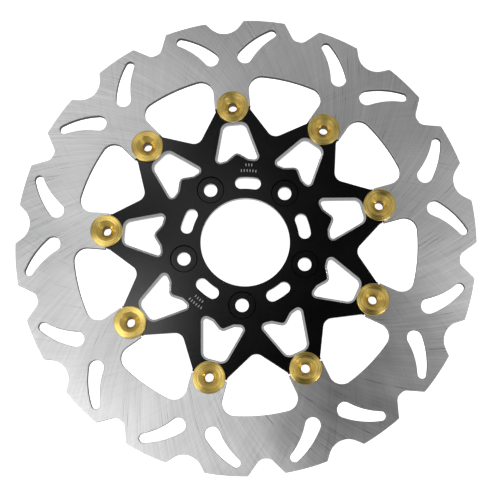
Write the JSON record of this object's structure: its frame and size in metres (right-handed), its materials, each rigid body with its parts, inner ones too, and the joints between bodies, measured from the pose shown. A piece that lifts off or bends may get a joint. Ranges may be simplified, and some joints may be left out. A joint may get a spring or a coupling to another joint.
{
  "type": "motorcycle brake disc rotor",
  "caption": "Floating motorcycle brake disc: a wave-edged, slotted friction ring held by flanged bobbins on a star-shaped bolt-on carrier.",
  "frame": {"origin": "on the wheel axle, level with the rear ends of the bobbins, which the disc rests on when laid down", "axes": "+Z along the axle, outboard, to the side with the bobbin flanges; +Y towards the first bobbin"},
  "size_m": [0.2998, 0.299, 0.0115],
  "materials": {
    "ground_steel": "ground, with fine crossing grinding marks",
    "black_anodised": "satin black anodised, with bright-cut bevels round the arm windows",
    "gold_anodised": "gold anodised over fine turning marks",
    "spring_steel": "oiled spring steel",
    "zinc_plate": "bright zinc plate"
  },
  "bodies": {
    "carrier": {"carrier": "black_anodised"},
    "ring": {"friction_ring": "ground_steel"},
    "bobbin_set_1": {"bobbin_1": "gold_anodised", "wave_spring_1": "spring_steel", "flat_washer_1": "zinc_plate", "circlip_1": "spring_steel"},
    "bobbin_set_2": {"bobbin_2": "gold_anodised", "wave_spring_2": "spring_steel", "flat_washer_2": "zinc_plate", "circlip_2": "spring_steel"},
    "bobbin_set_3": {"bobbin_3": "gold_anodised", "wave_spring_3": "spring_steel", "flat_washer_3": "zinc_plate", "circlip_3": "spring_steel"},
    "bobbin_set_4": {"bobbin_4": "gold_anodised", "wave_spring_4": "spring_steel", "flat_washer_4": "zinc_plate", "circlip_4": "spring_steel"},
    "bobbin_set_5": {"bobbin_5": "gold_anodised", "wave_spring_5": "spring_steel", "flat_washer_5": "zinc_plate", "circlip_5": "spring_steel"},
    "bobbin_set_6": {"bobbin_6": "gold_anodised", "wave_spring_6": "spring_steel", "flat_washer_6": "zinc_plate", "circlip_6": "spring_steel"},
    "bobbin_set_7": {"bobbin_7": "gold_anodised", "wave_spring_7": "spring_steel", "flat_washer_7": "zinc_plate", "circlip_7": "spring_steel"},
    "bobbin_set_8": {"bobbin_8": "gold_anodised", "wave_spring_8": "spring_steel", "flat_washer_8": "zinc_plate", "circlip_8": "spring_steel"},
    "bobbin_set_9": {"bobbin_9": "gold_anodised", "wave_spring_9": "spring_steel", "flat_washer_9": "zinc_plate", "circlip_9": "spring_steel"}
  },
  "joints": [
    {"name": "ring_float", "type": "slide", "parent": "carrier", "child": "ring", "axis": [0, 0, 1], "range_m": [-0.00025, 0], "stiffness_N_per_m": 40000, "springref_m": 0.0004},
    {"name": "bobbin_1_spin", "type": "hinge", "parent": "carrier", "child": "bobbin_set_1", "pos_m": [0, 0.09056, 0.007], "axis": [0, 0, 1], "continuous": true},
    {"name": "bobbin_2_spin", "type": "hinge", "parent": "carrier", "child": "bobbin_set_2", "pos_m": [-0.05821, 0.06937, 0.007], "axis": [0, 0, 1], "continuous": true},
    {"name": "bobbin_3_spin", "type": "hinge", "parent": "carrier", "child": "bobbin_set_3", "pos_m": [-0.08918, 0.01573, 0.007], "axis": [0, 0, 1], "continuous": true},
    {"name": "bobbin_4_spin", "type": "hinge", "parent": "carrier", "child": "bobbin_set_4", "pos_m": [-0.07843, -0.04528, 0.007], "axis": [0, 0, 1], "continuous": true},
    {"name": "bobbin_5_spin", "type": "hinge", "parent": "carrier", "child": "bobbin_set_5", "pos_m": [-0.03097, -0.0851, 0.007], "axis": [0, 0, 1], "continuous": true},
    {"name": "bobbin_6_spin", "type": "hinge", "parent": "carrier", "child": "bobbin_set_6", "pos_m": [0.03097, -0.0851, 0.007], "axis": [0, 0, 1], "continuous": true},
    {"name": "bobbin_7_spin", "type": "hinge", "parent": "carrier", "child": "bobbin_set_7", "pos_m": [0.07843, -0.04528, 0.007], "axis": [0, 0, 1], "continuous": true},
    {"name": "bobbin_8_spin", "type": "hinge", "parent": "carrier", "child": "bobbin_set_8", "pos_m": [0.08918, 0.01573, 0.007], "axis": [0, 0, 1], "continuous": true},
    {"name": "bobbin_9_spin", "type": "hinge", "parent": "carrier", "child": "bobbin_set_9", "pos_m": [0.05821, 0.06937, 0.007], "axis": [0, 0, 1], "continuous": true}
  ]
}
